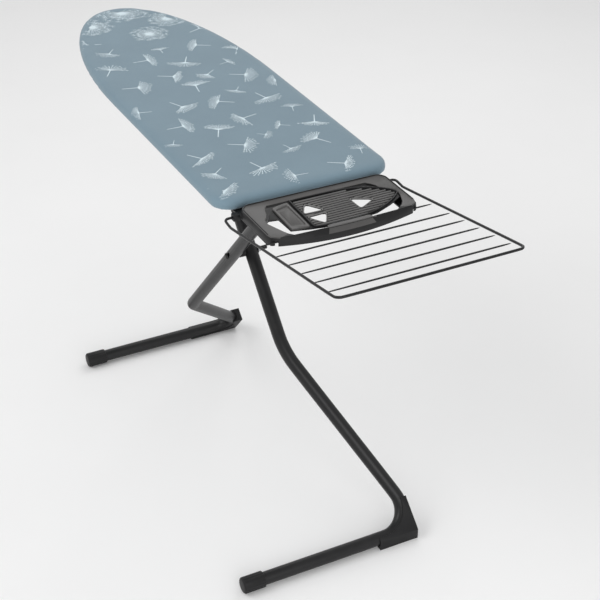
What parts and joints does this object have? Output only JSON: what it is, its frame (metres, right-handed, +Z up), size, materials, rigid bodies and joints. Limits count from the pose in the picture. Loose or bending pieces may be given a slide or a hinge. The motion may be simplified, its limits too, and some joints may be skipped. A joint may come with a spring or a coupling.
{
  "type": "ironing board",
  "caption": "Folding ironing board with a padded tapered top, an iron rest, a wire linen rack and crossed bent tube legs.",
  "frame": {"origin": "centre of the overall box, on the floor", "axes": "+X from the board's nose towards the iron rest and the linen rack, +Y across the board to the side of the release lever, +Z up"},
  "size_m": [1.718, 0.4753, 1.0319],
  "materials": {
    "cover": "matte woven cotton",
    "steel": "galvanised",
    "black_steel": "black powder coat, satin",
    "black_wire": "black powder coat, satin",
    "zinc": "zinc plated",
    "plastic": "black, fine grain",
    "grey_plastic": "dark grey, satin"
  },
  "bodies": {
    "board": {"cover_pad": "cover", "top_sheet": "steel", "rim_tube": "black_steel", "cross_bar_1": "black_steel", "cross_bar_2": "black_steel", "cross_bar_3": "black_steel", "cross_bar_4": "black_steel", "guide_rail": "black_steel", "rail_stop_front": "plastic", "rail_stop_rear": "plastic", "hinge_bracket": "black_steel", "bracket_rivet_left": "zinc", "bracket_rivet_right": "zinc", "hinge_pin": "zinc", "bar_clip_1": "plastic", "bar_clip_2": "plastic", "bar_clip_3": "plastic", "bar_clip_4": "plastic", "lever_spring": "zinc", "iron_rest_frame": "grey_plastic", "iron_plate": "plastic", "heel_pad": "grey_plastic", "rest_arm_left": "black_steel", "rest_arm_right": "black_steel", "rest_screw_left_1": "zinc", "rest_screw_left_2": "zinc", "rest_screw_right_1": "zinc", "rest_screw_right_2": "zinc", "rack_hinge_block_left": "plastic", "rack_hinge_block_right": "plastic"},
    "release": {"release_bar": "zinc", "lever_arm": "black_steel", "lever_grip": "plastic"},
    "leg_b": {"leg_b_tube": "black_steel", "leg_b_eye": "plastic", "foot_b_cap": "plastic", "foot_b_shoe": "plastic", "pivot_bolt": "black_steel", "pivot_spacer": "plastic", "pivot_washer": "zinc", "pivot_nut": "zinc"},
    "leg_a": {"leg_a_tube": "black_steel", "leg_a_eye": "plastic", "foot_a_cap": "plastic", "foot_a_shoe": "plastic"},
    "carriage_body": {"carriage": "plastic", "carriage_pin": "zinc", "latch_lug": "plastic"},
    "linen_rack": {"rack_frame": "black_wire", "rack_bar_1": "black_wire", "rack_bar_2": "black_wire", "rack_bar_3": "black_wire", "rack_bar_4": "black_wire", "rack_bar_5": "black_wire", "rack_bar_6": "black_wire"}
  },
  "joints": [
    {"name": "leg_b_fold", "type": "hinge", "parent": "board", "child": "leg_b", "pos_m": [0.2424, 0.001, 0.92557], "axis": [0, 1, 0], "range_deg": [0, 44.5]},
    {"name": "leg_a_spread", "type": "hinge", "parent": "leg_b", "child": "leg_a", "pos_m": [-0.07284, 0.051, 0.59057], "axis": [0, 1, 0], "range_deg": [-89, 0]},
    {"name": "carriage_turn", "type": "hinge", "parent": "leg_a", "child": "carriage_body", "pos_m": [-0.38808, 0.051, 0.92557], "axis": [0, 1, 0], "range_deg": [0, 44.5]},
    {"name": "lever_lift", "type": "hinge", "parent": "board", "child": "release", "pos_m": [0.20596, 0.088, 0.94997], "axis": [1, 0, 0], "range_deg": [0, 10], "stiffness_Nm_per_rad": 0.6, "springref_deg": -28.65},
    {"name": "rack_fold", "type": "hinge", "parent": "board", "child": "linen_rack", "pos_m": [0.35696, 0, 0.95047], "axis": [0, 1, 0], "range_deg": [0, 95]}
  ],
  "couplings": [
    {"joint": "leg_a_spread", "follows": "leg_b_fold", "ratio": -2},
    {"joint": "carriage_turn", "follows": "leg_b_fold", "ratio": 1}
  ]
}
